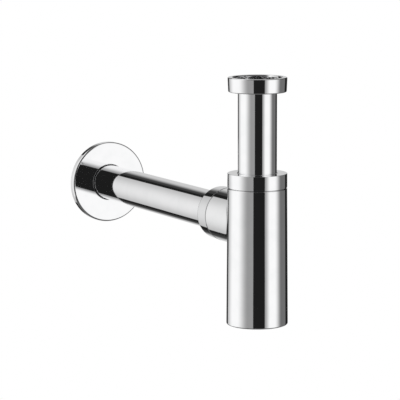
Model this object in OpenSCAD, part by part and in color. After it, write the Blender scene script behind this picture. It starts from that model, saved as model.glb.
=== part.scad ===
// Basin bottle trap, chromed brass, with a straight outlet to the wall.
// Millimetres, +Z up. The origin is the middle of the inlet nut's mouth, where the basin's waste
// screws in. The outlet runs along +Y to the wall.

/* [Tubes] */
// Outside diameter of the inlet and outlet tubes
tube_d = 32; // [31:0.5:32.5]
// Wall of both tubes
tube_wall = 1; // [0.8:0.1:1.5]
// Bevel on the cut ends of the tubes
tube_bevel = 0.3; // [0.1:0.1:0.4]
// Length of inlet tube that shows between the inlet nut and the clamp ring
inlet_show = 66.4; // [60:0.2:90]
// Height of the inlet tube's dipping end above the floor of the bottle, a water seal of 54
dip_gap = 8.2; // [7:0.1:12]
// Distance from the bottle's axis to the wall
wall_reach = 275; // [200:1:320]
// Length of outlet tube that goes into the wall
outlet_tail = 25; // [10:1:50]
// Gap between the outlet tube's inner end and the stop in the branch
outlet_play = 6; // [4:0.5:8]

/* [Inlet nut] */
// Radius of the inlet nut at its mouth
inlet_nut_r = 24.35; // [23.8:0.05:27]
// How much narrower the inlet nut is at its lower end
inlet_nut_lean = 0.5; // [0.1:0.1:1]
// Height of the inlet nut
inlet_nut_h = 12; // [11:0.5:16]
// Rounding of the inlet nut's lower edge
inlet_nut_round = 1; // [0.4:0.1:1.8]
// Radius inside the crests of the inlet thread, G 1 1/4
inlet_thread_r = 19.476; // [19.2:0.002:19.6]
// Length of the inlet thread
inlet_thread_l = 5.4; // [5:0.1:5.8]
// Depth of the relief behind the inlet thread
inlet_relief = 0.95; // [0.5:0.05:1.2]
// Thickness of the inlet nut's web, which the collar hangs on
inlet_web = 2; // [1.6:0.1:2.4]

/* [Collar and gasket] */
// Thickness of the collar on the inlet tube
collar_t = 1.2; // [1:0.1:1.4]
// Thickness of the slip ring below the collar
slip_ring_t = 0.6; // [0.4:0.1:0.8]
// Thickness of the flat gasket on the collar
gasket_t = 1.9; // [1.5:0.1:2]

/* [Clamp ring] */
// How much wider the clamp ring is than the bottle's shoulder, on the radius
clamp_step = 0.05; // [0:0.05:0.4]
// Height of the clamp ring
clamp_h = 11.95; // [11.5:0.05:14]
// Rounding of the clamp ring's top edge
clamp_round = 0.4; // [0.2:0.1:1]
// Thickness of the clamp ring's web
clamp_web = 2.4; // [2:0.1:3]

/* [Bottle] */
// Outside radius of the bottle at its shoulder
bottle_top_r = 24.5; // [24.2:0.05:26]
// How much wider the bottle is at its base than at its shoulder, on the radius
bottle_flare = 0.95; // [0.1:0.05:2]
// Height of the bottle from its shoulder to its base
bottle_h = 113.25; // [112:0.25:125]
// Rounding of the bottle's lower edge
bottle_round = 1.3; // [0.5:0.1:1.8]
// Wall around the bottle's chamber at the shoulder
bottle_wall = 1.5; // [1.3:0.1:2]
// Thickness of the bottle's shoulder
shoulder_t = 3; // [2.5:0.1:5]
// Thickness of the bottle's base, which holds the plug's thread
base_t = 7.5; // [7:0.1:8]
// Where the neck's thread lies, as a share of the way from the tube's hole to the bottle's side
neck_share = 0.62; // [0.58:0.01:0.64]

/* [Outlet branch] */
// Distance of the outlet's axis below the bottle's shoulder
outlet_drop = 28.55; // [27:0.05:32]
// Radius of the branch on the bottle's side
branch_r = 22.6; // [22:0.05:22.8]
// Distance from the bottle's axis to the face that the outlet nut meets
branch_reach = 46.4; // [44:0.1:52]
// Distance from the bottle's axis to the stop inside the branch
branch_stop = 30; // [28:0.5:31]
// Width of the stop inside the branch
branch_lip = 1.9; // [1.2:0.1:2.4]
// Outside radius of the thread on the branch's neck
branch_neck_r = 20; // [19.8:0.1:20.2]

/* [Outlet nut] */
// How much wider the outlet nut's mouth is than the branch, on the radius
outlet_nut_step = 0.05; // [0:0.05:0.4]
// How much narrower the outlet nut is at the tube's end
outlet_nut_lean = 0.55; // [0.1:0.05:0.8]
// Length of the outlet nut
outlet_nut_l = 15.3; // [15:0.1:18]
// Rounding of the outlet nut's edge at the tube
outlet_nut_round = 1.8; // [0.5:0.1:2.2]
// Thickness of the outlet nut's web
outlet_web = 3; // [2.6:0.1:3.2]

/* [Threads and seams] */
// Radial gap between a nut's bore and the neck that it screws on
thread_gap = 0.3; // [0.3:0.05:0.4]
// Gap between a tightened nut and the face that it meets
seam_gap = 0.3; // [0.2:0.05:0.4]
// Bevel of the edges that meet at a seam, and of the nuts' mouths
seam_bevel = 0.5; // [0.3:0.05:0.6]
// Depth of the relief groove behind the thread in the clamp ring and the outlet nut
nut_relief = 0.5; // [0.3:0.05:0.6]
// Radial gap between a tube and a hole that it passes through
tube_gap = 0.4; // [0.35:0.05:0.45]

/* [Compression seals] */
// Width of a cone seal at its thick end
seal_w = 2.6; // [2.3:0.1:2.7]
// Length of a cone seal's taper
seal_l = 5.2; // [4.5:0.1:5.6]
// Thickness of a cone seal's rim, which stands out of its seat
seal_rim_t = 1.2; // [0.8:0.1:1.3]
// Thickness of a friction ring
friction_ring_t = 1; // [0.8:0.05:1.4]
// Play between a friction ring and its nut's web
ring_play = 0.4; // [0.3:0.05:0.6]
// Gap between a seal and what it runs on
seal_fit = 0.08; // [0.05:0.01:0.1]

/* [Base plug] */
// Radius of the plug's head
plug_r = 18; // [17.6:0.1:18.6]
// Thickness of the plug's head
plug_head_t = 2.6; // [2.4:0.1:3]
// Outside radius of the plug's thread
plug_thread_r = 14.7; // [14.2:0.1:15]
// Depth that the plug's head is sunk below the bottle's base
plug_sink = 0.3; // [0.2:0.1:0.5]
// Play between the plug's head and its seat
plug_play = 0.05; // [0.02:0.01:0.1]
// Thickness of the plug's O-ring
plug_ring_d = 1.8; // [1.6:0.1:1.9]
// Radius of the hollow in the plug's inner end
plug_hollow_r = 11; // [9:0.5:12]
// Metal left between the plug's hollow and the inner face of its head
plug_floor = 1; // [0.6:0.1:1.4]
// Width of the coin slot in the plug
slot_w = 3; // [2:0.1:4]
// Length of the coin slot in the plug
slot_l = 24; // [16:1:28]
// Depth of the coin slot in the plug
slot_d = 1.4; // [1:0.1:1.6]

/* [Rosette] */
// Radius of the rosette
rosette_r = 37.3; // [33:0.1:45]
// Thickness of the rosette from its face to the wall
rosette_t = 6.2; // [6:0.1:9]
// Rounding of the rosette's front edge
rosette_round = 1.8; // [1:0.1:2.2]
// Wall of the rosette's face and rim
rosette_wall = 1.5; // [1.2:0.1:2]
// Radial gap between the tube and the rosette's hole
rosette_gap = 0.6; // [0.5:0.05:0.7]
// Rounding of the rosette's hole
rosette_lip = 0.6; // [0.3:0.1:1]
// Wall of the rosette's hub outside the ring groove
rosette_hub = 2.2; // [1.6:0.1:4]
// Bevel inside the rosette's rim
rosette_inner_bevel = 0.8; // [0.4:0.1:1.2]
// Width of the hub behind the ring groove
ring_land = 1.2; // [0.8:0.1:1.4]
// Gap between the rosette's hub and the wall
rosette_hub_gap = 0.8; // [0.5:0.1:1]
// Thickness of the rubber ring that holds the rosette on the tube
rosette_ring_d = 2.3; // [2:0.1:2.4]

/* [Hidden] */
$fn = 96;

tube_r = tube_d / 2;
tube_in = tube_r - tube_wall;
tube_hole = tube_r + tube_gap;

// Radii that follow from the bottle and the branch
clamp_r = bottle_top_r + clamp_step;
neck_r = tube_hole + neck_share * (bottle_top_r - tube_hole);
bottle_base_r = bottle_top_r + bottle_flare;
chamber_r = bottle_top_r - bottle_wall;
outlet_nut_r = branch_r + outlet_nut_step;

// Heights, all measured down from the inlet nut's mouth
inlet_web_top = inlet_web - inlet_nut_h;
collar_low = inlet_web_top + slip_ring_t;
collar_top = collar_low + collar_t;
collar_r = inlet_thread_r - tube_gap;
clamp_top = -inlet_nut_h - inlet_show;
clamp_low = clamp_top - clamp_h;
shoulder_z = clamp_low - seam_gap;
neck_h = clamp_h + seam_gap - clamp_web - ring_play - friction_ring_t - seal_rim_t;
neck_top = shoulder_z + neck_h;
base_z = shoulder_z - bottle_h;
floor_z = base_z + base_t;
outlet_z = shoulder_z - outlet_drop;
dip_end = floor_z + dip_gap;

// Distances along the outlet, measured from the bottle's axis
outlet_nut_y = branch_reach + seam_gap;
branch_neck_l = outlet_nut_l + seam_gap - outlet_web - ring_play - friction_ring_t - seal_rim_t;
branch_end = branch_reach + branch_neck_l;
outlet_start = branch_stop + outlet_play;
outlet_end = wall_reach + outlet_tail;
rosette_face = wall_reach - rosette_t;

// Seats of the two cone seals
seal_r = tube_r + seal_fit;
seal_slope = (seal_w - tube_gap + seal_fit) / seal_l;
seat_wide = tube_r + seal_w + seal_fit;

// The plug and its seat, from the base upwards
plug_low = base_z + plug_sink;
plug_seat = plug_low + plug_head_t;
plug_ring_space = plug_ring_d + 2 * seal_fit;
plug_ring_r = plug_thread_r + seal_fit + plug_ring_d / 2;
plug_hollow_d = base_t - plug_sink - plug_head_t - plug_floor;
rosette_groove_r = tube_r + 2 * seal_fit + rosette_ring_d;
rosette_hub_r = rosette_groove_r + rosette_hub;
rosette_hole = tube_r + rosette_gap;
ring_groove_w = rosette_ring_d + 2 * seal_fit;
ring_groove_y = rosette_t - rosette_hub_gap - ring_land - ring_groove_w;

chrome = "silver";
rubber = "dimgray";
nylon = "white";

// How far a cut or a joined solid runs past the face that it starts from
past = 1;

// Points of an arc about (r, z), from one angle to another
function arc(r, z, q, from, to, steps = 8) =
    [for (i = [0 : steps]) let (a = from + (to - from) * i / steps) [r + q * cos(a), z + q * sin(a)]];

// Rounded edge where a side that leans in by t degrees meets an end face at height z
function end_edge(r, z, q, t) =
    arc(r + q * (1 - sin(t)) * tan(t) - q * cos(t), z - q, q, 90, t);

// Turns what is drawn upwards to point along the outlet, from the bottle's axis
module along_outlet(y) {
    translate([0, y, outlet_z]) rotate([-90, 0, 0]) children();
}

// A plain ring that stands on z = 0
module flat_ring(inner, outer, height) {
    rotate_extrude() translate([inner, 0]) square([outer - inner, height]);
}

// A straight tube that stands on z = 0, with bevelled ends
module tube(length) {
    rotate_extrude() polygon([[tube_in, 0], [tube_r - tube_bevel, 0], [tube_r, tube_bevel],
        [tube_r, length - tube_bevel], [tube_r - tube_bevel, length], [tube_in, length]]);
}

// A turned union nut: its mouth is at z = 0, its web and rounded edge at the other end
module union_nut(length, mouth_r, lean, edge, web, bore_r, bore_l, relief) {
    slope = atan(lean / length);
    rotate_extrude() polygon(concat(
        [[tube_hole, length]],
        end_edge(mouth_r - lean, length, edge, slope),
        [[mouth_r, seam_bevel], [mouth_r - seam_bevel, 0],
         [bore_r + seam_bevel, 0], [bore_r, seam_bevel], [bore_r, bore_l],
         [bore_r + relief, bore_l + relief], [bore_r + relief, length - web],
         [tube_hole, length - web]]));
}

// A rubber cone seal: its thin end is at z = 0 and its rim stands above the seat
module cone_seal() {
    rotate_extrude() polygon([[seal_r, 0], [tube_r + tube_gap, 0], [tube_r + seal_w, seal_l],
        [tube_r + seal_w, seal_l + seal_rim_t], [seal_r, seal_l + seal_rim_t]]);
}

// The hole that a cone seal sits in, cut down from the end of a neck at z = 0
module seal_seat() {
    rotate_extrude() polygon([[0, past], [seat_wide + seal_slope * past, past], [seat_wide, 0],
        [tube_hole, -seal_l - seal_fit], [0, -seal_l - seal_fit]]);
}

// A threaded neck that stands on z = 0, with a bevelled end
module neck(r, length) {
    rotate_extrude() polygon([[0, -past], [r, -past], [r, length - seam_bevel],
        [r - seam_bevel, length], [0, length]]);
}

module inlet_nut() {
    color(chrome) rotate([180, 0, 0])
        union_nut(inlet_nut_h, inlet_nut_r, inlet_nut_lean, inlet_nut_round, inlet_web,
            inlet_thread_r, seam_bevel + inlet_thread_l, inlet_relief);
}

module inlet_slip_ring() {
    color(nylon) translate([0, 0, inlet_web_top])
        flat_ring(tube_hole, collar_r, slip_ring_t);
}

// The inlet tube hangs from its collar and dips into the water in the bottle
module inlet_tube() {
    color(chrome) union() {
        translate([0, 0, dip_end]) tube(collar_top - dip_end);
        translate([0, 0, collar_low]) flat_ring(tube_in, collar_r, collar_t);
    }
}

module inlet_gasket() {
    color(rubber) translate([0, 0, collar_top])
        flat_ring(tube_in + tube_gap, collar_r, gasket_t);
}

module clamp_seal() {
    color(rubber) translate([0, 0, neck_top - seal_l]) cone_seal();
}

module clamp_friction_ring() {
    color(nylon) translate([0, 0, neck_top + seal_rim_t])
        flat_ring(tube_hole, neck_r - thread_gap, friction_ring_t);
}

module clamp_ring() {
    color(chrome) translate([0, 0, clamp_low])
        union_nut(clamp_h, clamp_r, 0, clamp_round, clamp_web,
            neck_r + thread_gap, neck_h - nut_relief, nut_relief);
}

// The bottle is one brass body: barrel, threaded neck, side branch and base
module bottle() {
    color(chrome) difference() {
        union() {
            translate([0, 0, base_z]) rotate_extrude() polygon(concat(
                [[0, bottle_h], [bottle_top_r - seam_bevel, bottle_h],
                 [bottle_top_r, bottle_h - seam_bevel]],
                arc(bottle_base_r - bottle_round, bottle_round, bottle_round,
                    -atan(bottle_flare / bottle_h), -90),
                [[0, 0]]));
            translate([0, 0, shoulder_z]) neck(neck_r, neck_h);
            along_outlet(0) rotate_extrude() polygon([[0, 0], [branch_r, 0],
                [branch_r, branch_reach - seam_bevel], [branch_r - seam_bevel, branch_reach],
                [0, branch_reach]]);
            along_outlet(branch_reach) neck(branch_neck_r, branch_neck_l);
        }
        // Chamber, and the way in for the inlet tube
        translate([0, 0, floor_z]) cylinder(r = chamber_r, h = bottle_h - base_t - shoulder_t);
        translate([0, 0, shoulder_z - shoulder_t - past])
            cylinder(r = tube_hole, h = shoulder_t + neck_h);
        translate([0, 0, neck_top]) seal_seat();
        // Way out through the branch, with the stop for the outlet tube
        along_outlet(0) cylinder(r = tube_hole - branch_lip, h = branch_stop + past);
        along_outlet(branch_stop)
            cylinder(r = tube_hole, h = branch_end - seal_l - branch_stop);
        along_outlet(branch_end) seal_seat();
        // Seat of the base plug: head, O-ring and thread
        translate([0, 0, base_z - past])
            cylinder(r = plug_r + thread_gap, h = plug_seat - base_z + past);
        translate([0, 0, plug_seat - past])
            cylinder(r = plug_ring_r + plug_ring_d / 2 + thread_gap, h = plug_ring_space + past);
        translate([0, 0, plug_seat]) cylinder(r = plug_thread_r + thread_gap, h = base_t);
    }
}

module plug_ring() {
    color(rubber) translate([0, 0, plug_seat + plug_ring_space / 2])
        rotate_extrude() translate([plug_ring_r, 0]) circle(d = plug_ring_d);
}

// The cleaning plug: a flat head with a coin slot, and a hollow threaded shank
module base_plug() {
    color(chrome) difference() {
        translate([0, 0, plug_low]) rotate_extrude() polygon([[0, 0], [plug_r - seam_bevel, 0],
            [plug_r, seam_bevel], [plug_r, plug_head_t - plug_play],
            [plug_thread_r, plug_head_t - plug_play],
            [plug_thread_r, base_t - plug_sink - seam_bevel],
            [plug_thread_r - seam_bevel, base_t - plug_sink],
            [0, base_t - plug_sink]]);
        translate([0, 0, floor_z - plug_hollow_d]) cylinder(r = plug_hollow_r, h = base_t);
        translate([0, 0, plug_low]) linear_extrude(2 * slot_d, center = true) {
            square([slot_l - slot_w, slot_w], center = true);
            for (side = [-1, 1]) translate([side * (slot_l - slot_w) / 2, 0]) circle(d = slot_w);
        }
    }
}

module outlet_seal() {
    color(rubber) along_outlet(branch_end - seal_l) cone_seal();
}

module outlet_friction_ring() {
    color(nylon) along_outlet(branch_end + seal_rim_t)
        flat_ring(tube_hole, branch_neck_r - thread_gap, friction_ring_t);
}

module outlet_nut() {
    color(chrome) along_outlet(outlet_nut_y)
        union_nut(outlet_nut_l, outlet_nut_r, outlet_nut_lean, outlet_nut_round, outlet_web,
            branch_neck_r + thread_gap, branch_neck_l - nut_relief, nut_relief);
}

module outlet_tube() {
    color(chrome) along_outlet(outlet_start) tube(outlet_end - outlet_start);
}

module rosette_ring() {
    color(rubber) along_outlet(rosette_face + ring_groove_y + ring_groove_w / 2)
        rotate_extrude() translate([seal_r + rosette_ring_d / 2, 0]) circle(d = rosette_ring_d);
}

// The rosette: a turned disc, hollow behind, whose hub holds the rubber ring in a groove
module rosette() {
    inside = rosette_r - rosette_wall;
    color(chrome) along_outlet(rosette_face) rotate_extrude() polygon(concat(
        arc(rosette_hole + rosette_lip, rosette_lip, rosette_lip, 180, 270),
        arc(rosette_r - rosette_round, rosette_round, rosette_round, -90, 0),
        [[rosette_r, rosette_t], [inside, rosette_t], [inside, rosette_wall + rosette_inner_bevel],
         [inside - rosette_inner_bevel, rosette_wall], [rosette_hub_r, rosette_wall],
         [rosette_hub_r, rosette_t - rosette_hub_gap], [rosette_hole, rosette_t - rosette_hub_gap],
         [rosette_hole, ring_groove_y + ring_groove_w],
         [rosette_groove_r, ring_groove_y + ring_groove_w],
         [rosette_groove_r, ring_groove_y], [rosette_hole, ring_groove_y]]));
}

inlet_nut();
inlet_slip_ring();
inlet_tube();
inlet_gasket();
clamp_seal();
clamp_friction_ring();
clamp_ring();
bottle();
plug_ring();
base_plug();
outlet_seal();
outlet_friction_ring();
outlet_nut();
outlet_tube();
rosette_ring();
rosette();
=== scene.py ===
import math

import bmesh
import bpy
import numpy as np
from mathutils import Matrix, Vector


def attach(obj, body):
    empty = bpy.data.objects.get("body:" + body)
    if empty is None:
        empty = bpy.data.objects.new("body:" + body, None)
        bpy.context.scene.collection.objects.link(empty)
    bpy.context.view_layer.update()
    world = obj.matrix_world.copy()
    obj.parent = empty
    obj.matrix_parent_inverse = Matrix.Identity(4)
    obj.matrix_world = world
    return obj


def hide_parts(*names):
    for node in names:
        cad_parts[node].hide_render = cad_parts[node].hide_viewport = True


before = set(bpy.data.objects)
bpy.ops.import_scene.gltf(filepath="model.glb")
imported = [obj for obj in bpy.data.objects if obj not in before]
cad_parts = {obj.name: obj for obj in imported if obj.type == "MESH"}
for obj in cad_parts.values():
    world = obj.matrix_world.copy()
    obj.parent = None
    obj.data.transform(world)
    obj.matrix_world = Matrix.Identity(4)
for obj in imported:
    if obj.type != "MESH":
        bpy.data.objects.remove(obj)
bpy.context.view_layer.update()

# Camera
# A long lens, a little above the trap and to its left, level but for a hair of roll.
# The place and the angles come from a fit to the ellipses and edges in the photograph.
CAMERA_AT = Vector((-0.82651, -1.37696, 0.14498))
YAW, PITCH, ROLL = math.radians(29.302), math.radians(8.702), math.radians(-0.154)
LENS, SENSOR = 178.576, 36

ahead = Vector((math.sin(YAW) * math.cos(PITCH), math.cos(YAW) * math.cos(PITCH), -math.sin(PITCH)))
level = Vector((math.cos(YAW), -math.sin(YAW), 0))
upward = level.cross(ahead)
right = math.cos(ROLL) * level + math.sin(ROLL) * upward
top = math.cos(ROLL) * upward - math.sin(ROLL) * level
lens = bpy.data.cameras.new("camera")
lens.lens, lens.sensor_width, lens.sensor_fit = LENS, SENSOR, "HORIZONTAL"
camera = bpy.data.objects.new("camera", lens)
bpy.context.scene.collection.objects.link(camera)
camera.matrix_world = Matrix((
    (right.x, top.x, -ahead.x, CAMERA_AT.x),
    (right.y, top.y, -ahead.y, CAMERA_AT.y),
    (right.z, top.z, -ahead.z, CAMERA_AT.z),
    (0, 0, 0, 1)))
bpy.context.scene.camera = camera
bpy.context.scene.view_settings.view_transform = "Standard"

# Studio
# White to the camera. Polished metal sees three soft walls in a dark room, and everything matt
# gets even white light. The camera looks in between the left and the right wall.
# Each wall: where it starts, where its brightest stretch begins and ends, where the light has faded
# and where the wall stops, in degrees round from -Y towards +X, then the greys of its start, of
# that stretch and of its end, as a screen shows them.
WALLS = {
    "left": (-172, -135, -112, -65, -46, 190, 250, 150),
    "right": (-1, 20, 38, 72, 102, 160, 250, 110),
    "back": (132, 148, 156, 172, 177, 120, 200, 60)}
ROOM, WALL_EDGE = 30, 1
# The walls end in a grey floor and a grey ceiling. Each pair is the upward part of the sight line
# where the change begins and ends.
LEVELS = {"floor": (-0.5, -0.6), "ceiling": (0.85, 0.95)}
ENDS = {"floor": 100, "ceiling": 90}
# The share of the light that chrome gives back, and the brightness that matt pieces see
CHROME_SHARE, EVEN = 0.9, 0.9
FLOOR_Z, FLOOR_HALF, FLOOR_PAINT = -0.6, 30, 0.85


def linear(grey):
    """A grey from 0 to 255, as a screen shows it, turned into linear light."""
    s = grey / 255
    return s / 12.92 if s <= 0.04045 else ((s + 0.055) / 1.055) ** 2.4


def plain(grey):
    """A colour of this linear grey."""
    return (grey, grey, grey, 1)


def node(tree, kind, inputs=(), **settings):
    """A shader node. inputs pairs a socket with a value or with another node's output."""
    n = tree.nodes.new(kind)
    for key, value in settings.items():
        setattr(n, key, value)
    for key, value in dict(inputs).items():
        if isinstance(value, bpy.types.NodeSocket):
            tree.links.new(value, n.inputs[key])
        else:
            n.inputs[key].default_value = value
    return n


def mix(tree, share, first, second):
    """The colour that goes from first to second by the share."""
    return node(tree, "ShaderNodeMix", {0: share, 6: first, 7: second}, data_type="RGBA").outputs[2]


def set_stops(ramp, pairs):
    """Sets a colour ramp's stops from pairs of place and linear grey."""
    while len(ramp.elements) < len(pairs):
        ramp.elements.new(0.5)
    for element, (place, grey) in zip(ramp.elements, pairs):
        element.position = place
        element.color = plain(grey)


def wall_colour(tree, turn):
    """The colour of the walls at a turn from -pi to pi, with a soft change between stops. It is
    brighter than the greys by what chrome swallows, so that they are what is seen in chrome."""
    stops = [(-180, ROOM)]
    for start, lit, unlit, faded, end, first, bright, last in WALLS.values():
        stops += [(start - WALL_EDGE, ROOM), (start, first), (lit, bright), (unlit, bright),
                  (faded, last), (end, last), (end + WALL_EDGE, ROOM)]
    stops.append((180, ROOM))
    place = node(tree, "ShaderNodeMapRange", {0: turn, 1: -math.pi, 2: math.pi}).outputs[0]
    ramp = node(tree, "ShaderNodeValToRGB", {0: place})
    ramp.color_ramp.interpolation = "EASE"
    set_stops(ramp.color_ramp, [((a + 180) / 360, linear(g) / CHROME_SHARE) for a, g in stops])
    return ramp.outputs[0]


def make_world():
    """The studio as a world: walls to glossy rays, white to the camera and even to the rest."""
    world = bpy.data.worlds.new("studio")
    bpy.context.scene.world = world
    world.use_nodes = True
    world.cycles.sampling_method = "NONE"
    t = world.node_tree
    t.nodes.clear()
    way = node(t, "ShaderNodeSeparateXYZ", {0: node(t, "ShaderNodeTexCoord").outputs["Generated"]})
    back = node(t, "ShaderNodeMath", {0: way.outputs["Y"], 1: -1.0}, operation="MULTIPLY")
    turn = node(t, "ShaderNodeMath", {0: way.outputs["X"], 1: back.outputs[0]}, operation="ARCTAN2")
    share = {name: node(t, "ShaderNodeMapRange", {0: way.outputs["Z"], 1: start, 2: stop},
                        interpolation_type="SMOOTHSTEP").outputs[0]
             for name, (start, stop) in LEVELS.items()}
    walls = wall_colour(t, turn.outputs[0])
    for name, grey in ENDS.items():
        walls = mix(t, share[name], walls, plain(linear(grey)))
    ray = node(t, "ShaderNodeLightPath")
    unseen = mix(t, ray.outputs["Is Glossy Ray"], plain(EVEN), walls)
    seen = mix(t, ray.outputs["Is Camera Ray"], unseen, plain(1))
    glow = node(t, "ShaderNodeBackground", {0: seen, 1: 1.0})
    node(t, "ShaderNodeOutputWorld", {0: glow.outputs[0]})


def floor_paint():
    """Pale and matt, white to the camera, and seen through from underneath."""
    paint = bpy.data.materials.new("floor_white")
    paint.use_nodes = True
    t = paint.node_tree
    t.nodes.clear()
    ray = node(t, "ShaderNodeLightPath")
    matt = node(t, "ShaderNodeBsdfDiffuse", {0: plain(FLOOR_PAINT)})
    white = node(t, "ShaderNodeEmission", {0: plain(1), 1: 1.0})
    shown = node(t, "ShaderNodeMixShader",
                 {0: ray.outputs["Is Camera Ray"], 1: matt.outputs[0], 2: white.outputs[0]})
    below = node(t, "ShaderNodeNewGeometry").outputs["Backfacing"]
    clear = node(t, "ShaderNodeBsdfTransparent")
    gone = node(t, "ShaderNodeMixShader", {0: below, 1: shown.outputs[0], 2: clear.outputs[0]})
    node(t, "ShaderNodeOutputMaterial", {0: gone.outputs[0]})
    return paint


make_world()

# The floor is far below, because the trap hangs from a basin
corners = [(x * FLOOR_HALF, y * FLOOR_HALF, FLOOR_Z) for x, y in ((-1, -1), (1, -1), (1, 1), (-1, 1))]
sheet = bpy.data.meshes.new("studio_floor")
sheet.from_pydata(corners, [], [(0, 1, 2, 3)])
sheet.materials.append(floor_paint())
floor = bpy.data.objects.new("studio_floor", sheet)
floor.visible_glossy = False
bpy.context.scene.collection.objects.link(floor)

# Inlet nut
# The union nut that screws on the basin waste: brass, turned, chromium plated and polished.
# Its G 1 1/4 thread shows inside the mouth, which is bevelled out past the thread's grooves.
# From here on, lengths are in mm from the middle of the mouth.
NUT_R, NUT_LEAN, NUT_H, NUT_ROUND, NUT_WEB = 24.35, 0.5, 12.0, 1.0, 2.0
THREAD_R, THREAD_CUT, THREAD_PITCH, THREAD_END = 19.476, 1.3, 2.309, -5.9
MOUTH, RELIEF = 1.4, 0.95
HOLE_R, BEVEL = 16.4, 0.5
WEB_TOP = NUT_WEB - NUT_H
OUTLET_Z = -119.2

# How finely a piece is cut up: points round it, the steps of large and small fillets in radians
# and the fillet that parts them, the place of the points that keep a flat side flat, and the
# largest gap between points along a side
SIDES = 256
LARGE_STEP, SMALL_STEP, SMALL_FILLET = 0.16, 0.4, 0.3
BESIDE_EDGE, SHORT_SIDE, SPACING = 0.05, 0.2, 6
# Points closer than this in metres are one point, and edges past this angle are sharp
WELD, SHARP = 3e-6, math.radians(32)


def outline(corners, closed=True):
    """The section of a turned piece as points (radius, height) in mm. Each corner is (radius,
    height, fillet) or (radius, height, fillet, parts). A fillet is an arc tangent to both sides:
    its centre lies on the bisector, at fillet / sin(half the angle). The side after a corner has
    a point beside each end and others at most SPACING apart, or is cut into that many parts."""
    p = np.array([c[:2] for c in corners], float)
    a, b = np.roll(p, 1, 0) - p, np.roll(p, -1, 0) - p
    a /= np.linalg.norm(a, axis=1)[:, None]
    b /= np.linalg.norm(b, axis=1)[:, None]
    half = np.arccos(np.clip((a * b).sum(1), -1, 1)) / 2
    arcs = []
    for i, corner in enumerate(corners):
        fillet = corner[2]
        if fillet == 0:
            arcs.append(p[i:i + 1])
            continue
        bisector = (a[i] + b[i]) / np.linalg.norm(a[i] + b[i])
        middle = p[i] + bisector * fillet / math.sin(half[i])
        reach = fillet / math.tan(half[i])
        ends = p[i] + a[i] * reach - middle, p[i] + b[i] * reach - middle
        sweep = math.pi - 2 * half[i]
        step = LARGE_STEP if fillet > SMALL_FILLET else SMALL_STEP
        s = np.linspace(0, 1, max(4, int(sweep / step)))[:, None]
        turned_ends = np.sin((1 - s) * sweep) * ends[0] + np.sin(s * sweep) * ends[1]
        arcs.append(middle + turned_ends / math.sin(sweep))
    run = []
    for i, arc in enumerate(arcs):
        run.append(arc)
        if i == len(arcs) - 1 and not closed:
            break
        start, stop = arc[-1], arcs[(i + 1) % len(arcs)][0]
        long = np.linalg.norm(stop - start)
        if len(corners[i]) > 3:
            s = np.arange(1, corners[i][3]) / corners[i][3]
        elif long < SHORT_SIDE:
            s = np.array([])
        else:
            s = np.linspace(BESIDE_EDGE / long, 1 - BESIDE_EDGE / long, int(long / SPACING) + 2)
        run.append(start + (stop - start) * s[:, None])
    return np.concatenate(run)


def band(inside, outside, low, high, fillet):
    """The section of a plain ring: a rectangle with four like fillets."""
    return outline([(inside, low, fillet), (outside, low, fillet),
                    (outside, high, fillet), (inside, high, fillet)])


def screw(low, high, wall, pitch, cut):
    """A thread for turned(). In a wall at this radius, from low to high, the groove's depth is cut
    times a trapezium wave of (height / pitch - turn / 2 pi), faded out over half a pitch at each
    end. A positive cut goes outwards. Beside the wall the surface stays where it is already deeper
    than the groove, so a thread runs out through a bevel."""
    crest, on_wall = 0.18, 0.02

    def move(r, z, turn):
        wave = np.abs(2 * np.mod(z / pitch - turn / (2 * np.pi), 1) - 1)
        tooth = np.clip((wave - crest) / (1 - 2 * crest), 0, 1)
        fade = np.clip((z - low) / (pitch / 2), 0, 1) * np.clip((high - z) / (pitch / 2), 0, 1)
        groove = wall + cut * tooth * fade
        if cut > 0:
            return np.where(r > wall - on_wall, np.maximum(r, groove) - r, 0)
        return np.where(r < wall + on_wall, np.minimum(r, groove) - r, 0)
    return move


def turned(section, screws=(), sides=SIDES):
    """A surface of revolution as a grid (points, sides, 3) in mm: every point of the section is
    carried round the axis, and each screw moves the wall that it is cut in."""
    turn = np.linspace(0, 2 * np.pi, sides, endpoint=False)[None, :]
    r, z = section[:, :1] + 0 * turn, section[:, 1:] + 0 * turn
    r = r + sum((cut(r, z, turn) for cut in screws), 0 * turn)
    return np.stack([r * np.cos(turn), r * np.sin(turn), z], -1)


def on_outlet(grid, y):
    """Lays a grid that was turned about the upright axis along the outlet: its height becomes the
    distance y from the bottle's axis, and its own y points down from the outlet's axis."""
    return np.stack([grid[..., 0], grid[..., 2] + y, OUTLET_Z - grid[..., 1]], -1)


def quads(rows, across, loop):
    """Corner numbers of the squares of a grid whose columns close, and whose rows close if loop."""
    i, j = np.meshgrid(np.arange(rows if loop else rows - 1), np.arange(across), indexing="ij")
    down, over = (i + 1) % rows, (j + 1) % across
    return np.stack([i * across + j, i * across + over, down * across + over, down * across + j], -1)


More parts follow.
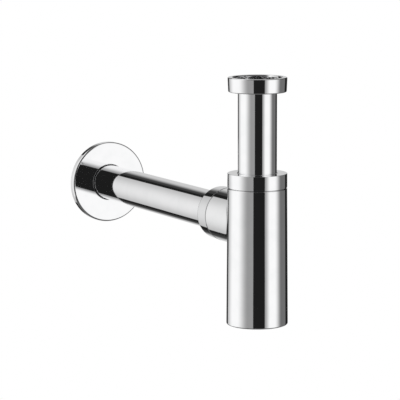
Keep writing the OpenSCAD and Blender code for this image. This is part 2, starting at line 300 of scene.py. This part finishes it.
def shell(name, skins, materials, body, nodes):
    """Makes one piece from skins, each (points in mm (rows, columns, 3), squares, material
    numbers), welds their seams and poles, turns the faces outwards and puts it on its body."""
    points, faces, mats, count = [], [], [], 0
    for grid, squares, number in skins:
        squares = squares.reshape(-1, 4)
        points.append(grid.reshape(-1, 3))
        faces.append(squares + count)
        mats.append(np.broadcast_to(number, len(squares)))
        count += grid.size // 3
    points, faces = np.concatenate(points) / 1000, np.concatenate(faces)
    mesh = bpy.data.meshes.new(name)
    mesh.vertices.add(len(points))
    mesh.vertices.foreach_set("co", points.astype(np.float32).ravel())
    mesh.loops.add(faces.size)
    mesh.loops.foreach_set("vertex_index", faces.astype(np.int32).ravel())
    mesh.polygons.add(len(faces))
    mesh.polygons.foreach_set("loop_start", np.arange(0, faces.size, 4, dtype=np.int32))
    mesh.polygons.foreach_set("material_index", np.concatenate(mats).astype(np.int32))
    mesh.update(calc_edges=True)
    m = bmesh.new()
    m.from_mesh(mesh)
    bmesh.ops.remove_doubles(m, verts=m.verts, dist=WELD)
    bmesh.ops.recalc_face_normals(m, faces=m.faces)
    m.to_mesh(mesh)
    m.free()
    mesh.polygons.foreach_set("use_smooth", np.ones(len(mesh.polygons), bool))
    mesh.set_sharp_from_angle(angle=SHARP)
    for material in materials:
        mesh.materials.append(material)
    piece = bpy.data.objects.new(name, mesh)
    bpy.context.scene.collection.objects.link(piece)
    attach(piece, body)
    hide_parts(*nodes)
    return piece


def lathe(name, section, materials, body, cad_node, screws=(), sides=SIDES, y=None,
          inside=None):
    """One piece from a closed section, turned about the upright axis, or about the outlet's when
    y says where its height 0 is. Where the section is no wider than inside, it has the second
    material."""
    grid = turned(section, screws, sides)
    number = 0
    if inside is not None:
        number = (section[:, :1] < inside + 0.01).repeat(sides, 1).astype(int).ravel()
    if y is not None:
        grid = on_outlet(grid, y)
    shell(name, [(grid, quads(len(grid), sides, True), number)], materials, body, [cad_node])


def make_marks():
    """A node group for metal and rubber alike: Haze, a soft mask of faint cloudy marks, and
    Ripple, a height that sways slowly over the surface, as hand polishing or a mould leaves it."""
    g = bpy.data.node_groups.new("surface_marks", "ShaderNodeTree")
    for name in ("Cloud Scale", "Ripple Scale"):
        g.interface.new_socket(name, in_out="INPUT", socket_type="NodeSocketFloat")
    for name in ("Haze", "Ripple"):
        g.interface.new_socket(name, in_out="OUTPUT", socket_type="NodeSocketFloat")
    given = g.nodes.new("NodeGroupInput")
    spot = node(g, "ShaderNodeTexCoord").outputs["Object"]
    cloud = node(g, "ShaderNodeTexNoise", {"Vector": spot, "Scale": given.outputs[0],
                                           "Detail": 5.0, "Roughness": 0.6})
    haze = node(g, "ShaderNodeMapRange", {0: cloud.outputs[0], 1: 0.42, 2: 0.72})
    sway = node(g, "ShaderNodeTexNoise", {"Vector": spot, "Scale": given.outputs[1], "Detail": 1.0})
    out = g.nodes.new("NodeGroupOutput")
    g.links.new(haze.outputs[0], out.inputs[0])
    g.links.new(sway.outputs[0], out.inputs[1])
    return g


def make_material(name, clear, hazy, smooth, dull, cloud, ripple, lift, metal=0.0):
    """A material: by the haze its colour goes from clear to hazy and its roughness from smooth to
    dull. cloud and ripple are the scales of the marks, and lift is the ripple's height in metres."""
    m = bpy.data.materials.new(name)
    m.use_nodes = True
    t = m.node_tree
    t.nodes.clear()
    marks = node(t, "ShaderNodeGroup", node_tree=surface_marks)
    marks.inputs[0].default_value, marks.inputs[1].default_value = cloud, ripple
    tint = mix(t, marks.outputs[0], (*clear, 1), (*hazy, 1))
    rough = node(t, "ShaderNodeMapRange", {0: marks.outputs[0], 3: smooth, 4: dull})
    bump = node(t, "ShaderNodeBump", {"Height": marks.outputs[1], "Distance": lift, "Strength": 1.0})
    skin = node(t, "ShaderNodeBsdfPrincipled",
                {"Base Color": tint, "Roughness": rough.outputs[0], "Metallic": metal,
                 "Normal": bump.outputs[0]})
    node(t, "ShaderNodeOutputMaterial", {0: skin.outputs[0]})
    return m


surface_marks = make_marks()
chrome = make_material("polished_chrome", clear=(0.9, 0.9, 0.905), hazy=(0.86, 0.865, 0.87),
                       smooth=0.03, dull=0.06, cloud=90, ripple=28, lift=0.00006, metal=1.0)
bore = make_material("plain_bore", clear=(0.5, 0.5, 0.5), hazy=(0.36, 0.36, 0.36),
                     smooth=0.22, dull=0.36, cloud=160, ripple=60, lift=0.00002, metal=1.0)

nut = outline([
    (HOLE_R, -NUT_H, 0.1), (NUT_R - NUT_LEAN, -NUT_H, NUT_ROUND), (NUT_R, -BEVEL, 0.2),
    (NUT_R - BEVEL, 0, 0.12), (THREAD_R + MOUTH, 0, 0.1, 12), (THREAD_R, -MOUTH, 0, 32),
    (THREAD_R, THREAD_END, 0), (THREAD_R + RELIEF, THREAD_END - RELIEF, 0.1),
    (THREAD_R + RELIEF, WEB_TOP, 0.2), (HOLE_R, WEB_TOP, 0.1)])
lathe("turned_inlet_nut", nut, [chrome], "inlet_nut", "inlet_nut",
      [screw(THREAD_END, 2, THREAD_R, THREAD_PITCH, THREAD_CUT)])

# Slip ring
# A thin washer of white nylon under the collar. The nut turns on it without dragging the tube.
COLLAR_R, COLLAR_LOW, COLLAR_TOP = 19.076, -9.4, -8.2
nylon = make_material("white_nylon", clear=(0.82, 0.82, 0.79), hazy=(0.88, 0.88, 0.86),
                      smooth=0.38, dull=0.52, cloud=220, ripple=130, lift=0.00001)
lathe("slip_washer", band(HOLE_R, COLLAR_R, WEB_TOP, COLLAR_LOW, 0.06), [nylon],
      "inlet_slip_ring", "inlet_slip_ring")

# Inlet tube
# A chromed brass tube, 32 mm outside, with a collar at its top that hangs on the slip ring.
# Its lower end dips into the water in the bottle.
TUBE_R, TUBE_IN, TUBE_BEVEL, DIP_END = 16.0, 15.0, 0.3, -188.2
dip = outline([
    (TUBE_IN, DIP_END, 0.1), (TUBE_R, DIP_END, TUBE_BEVEL), (TUBE_R, COLLAR_LOW, 0.3),
    (COLLAR_R, COLLAR_LOW, 0.1), (COLLAR_R, COLLAR_TOP, 0.15), (TUBE_IN, COLLAR_TOP, 0.2)])
lathe("flanged_dip_tube", dip, [chrome, bore], "inlet_tube", "inlet_tube", inside=TUBE_IN)

# Gasket
# A flat ring of black rubber on the collar, which the basin waste presses on.
GASKET_IN, GASKET_TOP = 15.4, -6.3
rubber = make_material("black_rubber", clear=(0.018, 0.018, 0.018), hazy=(0.035, 0.035, 0.034),
                       smooth=0.5, dull=0.68, cloud=240, ripple=150, lift=0.00002)
lathe("flat_gasket", band(GASKET_IN, COLLAR_R, COLLAR_TOP, GASKET_TOP, 0.15), [rubber],
      "inlet_tube", "inlet_gasket")

# Upper cone seal
# A moulded rubber ring that grips the inlet tube where it goes into the bottle.
NECK_TOP = -83.4
FIT, SEAL_WIDE, SEAL_L, SEAL_RIM = 0.08, 18.6, 5.2, 1.2


def cone_seal(end):
    """The section of a cone seal in the end of a neck. Its rim stops 0.02 short of the friction
    ring, so that the two faces don't cut through each other where one turns on the other."""
    inside, low, high = TUBE_R + FIT, end - SEAL_L, end + SEAL_RIM - 0.02
    return outline([(inside, low, 0.03), (HOLE_R, low, 0.06), (SEAL_WIDE, end, 0.2),
                    (SEAL_WIDE, high, 0.2), (inside, high, 0.15)])


lathe("upper_cone_seal", cone_seal(NECK_TOP), [rubber], "clamp_seal", "clamp_seal")

# Upper friction ring
# A white nylon washer between the seal and the clamp ring, so that the rubber isn't twisted.
NECK_R, THREAD_GAP, FRICTION_T = 21.422, 0.3, 1.0


def friction_ring(neck_r, end):
    """The section of the washer that lies on a cone seal's rim."""
    low = end + SEAL_RIM
    return band(HOLE_R, neck_r - THREAD_GAP, low, low + FRICTION_T, 0.08)


lathe("upper_friction_ring", friction_ring(NECK_R, NECK_TOP), [nylon], "clamp_friction_ring",
      "clamp_friction_ring")

# Clamp ring
# The chromed ring on top of the bottle. It screws down over the seal and clamps the inlet tube.
CLAMP_R, CLAMP_LOW, CLAMP_TOP, CLAMP_ROUND, CLAMP_WEB = 24.55, -90.35, -78.4, 0.4, 2.4
FINE_PITCH, FINE_CUT = 1.5, 0.7


def nut_bore(neck_r, mouth, thread_l, web, parts):
    """The corners inside a nut, from its mouth up: a bevel, the thread, a relief and the web."""
    crest, root, thread_end = neck_r + THREAD_GAP, neck_r + THREAD_GAP + BEVEL, mouth + thread_l
    return [(root, mouth, 0.1), (crest, mouth + BEVEL, 0, parts), (crest, thread_end, 0),
            (root, thread_end + BEVEL, 0.1), (root, web, 0.2), (HOLE_R, web, 0.1)]


def nut_thread(neck_r, mouth, thread_l):
    """The thread of nut_bore()."""
    return screw(mouth + 0.3, mouth + thread_l, neck_r + THREAD_GAP, FINE_PITCH, FINE_CUT)


ring = outline([
    (HOLE_R, CLAMP_TOP, 0.5), (CLAMP_R, CLAMP_TOP, CLAMP_ROUND), (CLAMP_R, CLAMP_LOW + BEVEL, 0.15),
    (CLAMP_R - BEVEL, CLAMP_LOW, 0.12), *nut_bore(NECK_R, CLAMP_LOW, 6.75, CLAMP_TOP - CLAMP_WEB, 42)])
lathe("turned_clamp_ring", ring, [chrome], "clamp_ring", "clamp_ring",
      [nut_thread(NECK_R, CLAMP_LOW, 6.75)])

# Bottle
# The body of the trap, chromed brass: a barrel that widens a little to its base, a threaded neck,
# and a side branch that is brazed into it and threaded at its end.
SHOULDER, SHOULDER_T, BASE, BASE_ROUND, CAVITY_LOW = -90.65, 3, -203.9, 1.3, -196.4
TOP_R, BASE_R, CHAMBER_R = 24.5, 25.45, 23.0
BRANCH_R, BRANCH_NECK_R, BRANCH_REACH, BRANCH_END = 22.6, 20.0, 46.4, 56.4
# The branch's inner bore, the step where the outlet tube stops, and where the stem's rings begin
# and end
BRANCH_BORE, TUBE_STOP, STEM_START, STEM_END = 14.5, 30, 28.5, 25
# The hole for the cleaning plug: its counterbore, the seat of its O-ring and its threaded bore
PLUG_BORE, RING_SEAT_R, RECESS_R, RING_SEAT_TOP, RECESS_TOP = 15.0, 16.88, 18.3, -199.04, -201.0
# Windows that are left out of the barrel and of the chamber, for the branch to join: their upper
# and lower edges, rows, and columns to each side of +Y. Each has twice its rows and twice its
# columns of points round it, which is RIM in both.
PATCH_TOP, PATCH_LOW, PATCH_ROWS, PATCH_HALF = -92.4, -146.4, 32, 56
WELL_TOP, WELL_LOW, WELL_ROWS, WELL_HALF = -99.2, -139.2, 48, 48
RIM = 2 * (PATCH_ROWS + 2 * PATCH_HALF)
# Rings on the barrel, in the fillet, along the branch's two straight ends and in the chamber
PATCH_RINGS, FILLET_RINGS, END_RINGS, WELL_RINGS = 14, 8, 6, 10


def barrel_r(z):
    """Outside radius of the barrel at a height: a straight line from the shoulder's bevel to the
    top of the rounding at the base."""
    top_z, low_z = SHOULDER - BEVEL, BASE + BASE_ROUND
    return TOP_R + (BASE_R - TOP_R) * (top_z - z) / (top_z - low_z)


def chamber_r(z):
    """Inside radius of the bottle, the same at every height."""
    return CHAMBER_R + 0 * z


def neck(radius, foot, end, parts):
    """The corners of a threaded neck, from its foot over its end to the bottom of the seal's seat."""
    return [(radius - BEVEL, foot, 0.1), (radius - BEVEL, foot + 0.4, 0),
            (radius, foot + 0.6, 0, parts), (radius, end - BEVEL, 0), (radius - BEVEL, end, 0.1),
            (SEAL_WIDE + FIT, end, 0.1), (HOLE_R, end - SEAL_L - FIT, 0.1)]


def neck_thread(radius, foot, end):
    """The thread of neck()."""
    return screw(foot + 0.6, end - 0.1, radius, FINE_PITCH, -FINE_CUT)


def row_at(r, z):
    """The row of the body's grid at the section's corner (r, z)."""
    return int(np.argmin(np.hypot(section[:, 0] - r, section[:, 1] - z)))


def window_rim(first, last, half):
    """The body's grid points round the edge of a window, anticlockwise as seen from the wall,
    from the middle of its right side: up, across the top, down, back along the bottom and up.
    The window goes from row first, its top, to row last, and half columns to each side of +Y."""
    step = 1 if last > first else -1
    rows = np.arange(first, last + step, step)
    mid, cols = len(rows) // 2, SIDES // 4 + np.arange(-half, half + 1)
    r = [(rows[i], cols[0]) for i in range(mid, 0, -1)]
    r += [(rows[0], c) for c in cols[:-1]]
    r += [(i, cols[-1]) for i in rows[:-1]]
    r += [(rows[-1], c) for c in cols[:0:-1]]
    r += [(i, cols[0]) for i in rows[:mid:-1]]
    r = np.array(r)
    return body[r[:, 0], r[:, 1]]


def around(rim, top_z, low_z):
    """The angle of each rim point about the outlet's axis, with the window stretched to a square."""
    wide = np.arctan2(rim[:, 0], rim[:, 1])
    tall = (rim[:, 2] - (top_z + low_z) / 2) / ((top_z - low_z) / 2)
    return np.unwrap(np.arctan2(tall, wide / wide.max()))


def saddle(angle, radius, wall):
    """Points where a cylinder of this radius along the outlet meets the upright wall(z): x and z
    go round the cylinder, and y is the root of wall squared less x squared."""
    x, z = radius * np.cos(angle), OUTLET_Z + radius * np.sin(angle)
    return np.stack([x, np.sqrt(wall(z) ** 2 - x ** 2), z], -1)


def spread(rim, curve, wall, rings):
    """Rings on the wall between a window's rim and the curve where the branch joins: height and
    angle round the barrel go straight from one to the other, closer together near the curve."""
    s = (1 - (1 - np.linspace(0, 1, rings)) ** 1.6)[:, None]
    turn = np.arctan2(rim[:, 0], rim[:, 1]) * (1 - s) + np.arctan2(curve[:, 0], curve[:, 1]) * s
    z = rim[:, 2] * (1 - s) + curve[:, 2] * s
    r = wall(z)
    return np.stack([r * np.sin(turn), r * np.cos(turn), z], -1)


section = outline([
    *neck(NECK_R, SHOULDER, NECK_TOP, 34), (HOLE_R, SHOULDER - SHOULDER_T, 0.2),
    (CHAMBER_R, SHOULDER - SHOULDER_T, 0.3), (CHAMBER_R, WELL_TOP, 0, WELL_ROWS),
    (CHAMBER_R, WELL_LOW, 0), (CHAMBER_R, CAVITY_LOW, 0.3), (PLUG_BORE, CAVITY_LOW, 0, 14),
    (PLUG_BORE, RING_SEAT_TOP, 0), (RING_SEAT_R, RING_SEAT_TOP, 0.1), (RING_SEAT_R, RECESS_TOP, 0.05),
    (RECESS_R, RECESS_TOP, 0.1), (RECESS_R, BASE, 0.2), (BASE_R, BASE, BASE_ROUND),
    (barrel_r(PATCH_LOW), PATCH_LOW, 0, PATCH_ROWS), (barrel_r(PATCH_TOP), PATCH_TOP, 0),
    (TOP_R, SHOULDER - BEVEL, 0.15), (TOP_R - BEVEL, SHOULDER, 0.1)])
body = turned(section, [neck_thread(NECK_R, SHOULDER, NECK_TOP),
                        screw(RING_SEAT_TOP, CAVITY_LOW, PLUG_BORE, FINE_PITCH, 0.6)])
patch = row_at(barrel_r(PATCH_TOP), PATCH_TOP), row_at(barrel_r(PATCH_LOW), PATCH_LOW)
well = row_at(CHAMBER_R, WELL_TOP), row_at(CHAMBER_R, WELL_LOW)
patch_rim, well_rim = window_rim(*patch, PATCH_HALF), window_rim(*well, WELL_HALF)
patch_angle = around(patch_rim, PATCH_TOP, PATCH_LOW)
well_angle = around(well_rim, WELL_TOP, WELL_LOW)

# From the barrel's window to the branch's root, through a brazed fillet that is larger above and
# below than at the sides. It is a quadratic curve from the barrel over the root to the branch.
grow = 0.6 + 0.8 * np.abs(np.sin(patch_angle))
on_barrel = saddle(patch_angle, BRANCH_R + grow, barrel_r)
root = saddle(patch_angle, BRANCH_R, barrel_r)
on_branch = root + np.stack([0 * grow, 0.8 + grow * 0.6, 0 * grow], -1)
s = np.linspace(0, 1, FILLET_RINGS)[:, None, None]
fillet = (1 - s) ** 2 * on_barrel + 2 * s * (1 - s) * root + s ** 2 * on_branch

# Out along the branch, over its threaded end and back through its bore into the chamber
stem_section = outline([
    (BRANCH_R, STEM_START, 0), (BRANCH_R, BRANCH_REACH - BEVEL, 0.15),
    (BRANCH_R - BEVEL, BRANCH_REACH, 0.1), *neck(BRANCH_NECK_R, BRANCH_REACH, BRANCH_END, 48),
    (HOLE_R, TUBE_STOP, 0.1), (BRANCH_BORE, TUBE_STOP, 0.2), (BRANCH_BORE, STEM_END, 0)], closed=False)
share = np.linspace(0, 1, len(stem_section))[:, None]
angle = patch_angle * (1 - share) + well_angle * share
r, y = stem_section[:, :1] + 0 * angle, stem_section[:, 1:] + 0 * angle
r = r + neck_thread(BRANCH_NECK_R, BRANCH_REACH, BRANCH_END)(r, y, -angle)
stem = np.stack([r * np.cos(angle), y, OUTLET_Z + r * np.sin(angle)], -1)
well_edge = saddle(well_angle, BRANCH_BORE, chamber_r)
s = np.linspace(0, 1, END_RINGS)[:, None, None]
chain = np.concatenate([
    spread(patch_rim, on_barrel, barrel_r, PATCH_RINGS), fillet[1:],
    (on_branch + (stem[0] - on_branch) * s)[1:], stem[1:],
    (stem[-1] + (well_edge - stem[-1]) * s)[1:],
    spread(well_rim, well_edge, chamber_r, WELL_RINGS)[::-1][1:]])

squares = quads(len(body), SIDES, True)
keep = np.ones(squares.shape[:2], bool)
for rows, half in ((patch, PATCH_HALF), (well, WELL_HALF)):
    keep[min(rows):max(rows), SIDES // 4 - half:SIDES // 4 + half] = False
shell("bottle_with_branch", [(body, squares[keep], 0), (chain, quads(len(chain), RIM, False), 0)],
      [chrome], "bottle", ["bottle"])

# Plug ring
# The rubber O-ring that seals the cleaning plug.
PLUG_RING_R, PLUG_RING_T = 15.68, 1.8


def o_ring(middle, height, thick):
    """The round section of an O-ring: a circle of this thickness about a point."""
    turn = np.linspace(0, 2 * np.pi, 48, endpoint=False)
    return np.stack([middle + thick / 2 * np.cos(turn), height + thick / 2 * np.sin(turn)], -1)


lathe("plug_o_ring", o_ring(PLUG_RING_R, (RING_SEAT_TOP + RECESS_TOP) / 2, PLUG_RING_T), [rubber],
      "plug_ring", "plug_ring")

# Base plug
# The chromed cleaning plug in the middle of the base, turned with a coin.
SLOT_L, SLOT_W, SLOT_D, SLOT_ROUND = 24.0, 3.0, 1.4, 0.25
PLUG_R, PLUG_THREAD_R, PLUG_HOLLOW_R, PLUG_FACE_R = 18.0, 14.7, 11, 12
PLUG_LOW, PLUG_STEP, PLUG_THREAD_LOW, PLUG_HOLLOW_LOW = -203.6, -201.05, -199.4, -200
plug = turned(outline([
    (PLUG_FACE_R, PLUG_LOW, 0), (PLUG_R, PLUG_LOW, 0.5), (PLUG_R, PLUG_STEP, 0.1),
    (PLUG_THREAD_R, PLUG_STEP, 0.1), (PLUG_THREAD_R, PLUG_THREAD_LOW, 0, 24),
    (PLUG_THREAD_R, CAVITY_LOW - BEVEL, 0), (PLUG_THREAD_R - BEVEL, CAVITY_LOW, 0.05),
    (PLUG_HOLLOW_R, CAVITY_LOW, 0.2), (PLUG_HOLLOW_R, PLUG_HOLLOW_LOW, 0.3), (0, PLUG_HOLLOW_LOW, 0)],
    closed=False), [screw(PLUG_THREAD_LOW, CAVITY_LOW - 0.2, PLUG_THREAD_R, FINE_PITCH, -0.6)])

# The face is rings from the plug's edge to the coin slot, down its wall and in over its floor.
# Each ring is the slot's middle line with its round tip enlarged by so many times.
turn = np.linspace(0, 2 * np.pi, SIDES, endpoint=False)
half_line = (SLOT_L - SLOT_W) / 2
spine = np.stack([np.clip(SLOT_L * np.cos(turn), -half_line, half_line), 0 * turn], -1)
tip = np.stack([np.cos(turn), np.sin(turn)], -1) * SLOT_W / 2
slot_floor = PLUG_LOW + SLOT_D
rings = []
for size, z in (
        (1 + SLOT_ROUND / (SLOT_W / 2), PLUG_LOW), (1 + 0.07 / (SLOT_W / 2), PLUG_LOW + 0.07),
        (1, PLUG_LOW + SLOT_ROUND), (1, slot_floor), (0.6, slot_floor), (0.2, slot_floor),
        (0, slot_floor)):
    rings.append(np.concatenate([spine + tip * size, 0 * turn[:, None] + z], 1))
s = np.linspace(0, 1, 10)[:, None, None]
face = np.concatenate([plug[0] + (rings[0] - plug[0]) * s, np.array(rings[1:])])
shell("slotted_base_plug",
      [(plug, quads(len(plug), SIDES, False), 0), (face, quads(len(face), SIDES, False), 0)],
      [chrome], "base_plug", ["base_plug"])

# Side cone seal and friction ring
# The same rubber seal and nylon washer as at the top, in the end of the branch.
lathe("side_cone_seal", cone_seal(BRANCH_END), [rubber], "outlet_seal", "outlet_seal", y=0)
lathe("side_friction_ring", friction_ring(BRANCH_NECK_R, BRANCH_END), [nylon],
      "outlet_friction_ring", "outlet_friction_ring", y=0)

# Outlet nut
# The chromed nut on the branch, with a well rounded edge where the wall tube comes out.
OUT_NUT_R, OUT_NUT_LEAN, OUT_NUT_L, OUT_NUT_Y = 22.65, 0.55, 15.3, 46.7
OUT_NUT_ROUND, OUT_NUT_WEB = 1.8, 3
side_nut = outline([
    (HOLE_R, OUT_NUT_L, 0.15), (OUT_NUT_R - OUT_NUT_LEAN, OUT_NUT_L, OUT_NUT_ROUND),
    (OUT_NUT_R, BEVEL, 0.15), (OUT_NUT_R - BEVEL, 0, 0.12),
    *nut_bore(BRANCH_NECK_R, 0, 9.5, OUT_NUT_L - OUT_NUT_WEB, 60)])
lathe("turned_outlet_nut", side_nut, [chrome], "outlet_nut", "outlet_nut",
      [nut_thread(BRANCH_NECK_R, 0, 9.5)], y=OUT_NUT_Y)

# Outlet tube
# A straight chromed tube, 32 mm outside, from inside the branch to 25 mm inside the wall.
OUTLET_START, OUTLET_END = 36, 300
straight = outline([
    (TUBE_IN, OUTLET_START, 0.1), (TUBE_R, OUTLET_START, TUBE_BEVEL),
    (TUBE_R, OUTLET_END, TUBE_BEVEL), (TUBE_IN, OUTLET_END, 0.1)])
lathe("wall_tube", straight, [chrome, bore], "outlet_tube", "outlet_tube", y=0,
      inside=TUBE_IN)

# Rosette
# The wall plate: a polished chromed disc, hollow behind, with a rubber ring in its hub that
# holds it on the tube.
WALL_Y, ROSETTE_R, ROSETTE_T, ROSETTE_ROUND, ROSETTE_WALL = 275.0, 37.3, 6.2, 1.8, 1.5
ROSETTE_HOLE, HUB_R, HUB_GAP, INNER_BEVEL = 16.6, 20.66, 0.8, 0.8
GROOVE_R, GROOVE_START, GROOVE_END, ROSETTE_RING_T = 18.46, 270.54, 273.0, 2.3
FRONT_Y = WALL_Y - ROSETTE_T
BACK_Y, HUB_END, RIM_IN = FRONT_Y + ROSETTE_WALL, WALL_Y - HUB_GAP, ROSETTE_R - ROSETTE_WALL
lathe("rosette_o_ring", o_ring(TUBE_R + FIT + ROSETTE_RING_T / 2, (GROOVE_START + GROOVE_END) / 2,
                               ROSETTE_RING_T), [rubber], "rosette_ring", "rosette_ring",
      y=0)
plate = outline([
    (ROSETTE_HOLE, FRONT_Y, 0.6), (ROSETTE_R, FRONT_Y, ROSETTE_ROUND), (ROSETTE_R, WALL_Y, 0.1),
    (RIM_IN, WALL_Y, 0.1), (RIM_IN, BACK_Y + INNER_BEVEL, 0.1), (RIM_IN - INNER_BEVEL, BACK_Y, 0.1),
    (HUB_R, BACK_Y, 0.1), (HUB_R, HUB_END, 0.1), (ROSETTE_HOLE, HUB_END, 0.1),
    (ROSETTE_HOLE, GROOVE_END, 0.05), (GROOVE_R, GROOVE_END, 0.1), (GROOVE_R, GROOVE_START, 0.1),
    (ROSETTE_HOLE, GROOVE_START, 0.05)])
lathe("turned_rosette", plate, [chrome], "rosette", "rosette", sides=384, y=0)
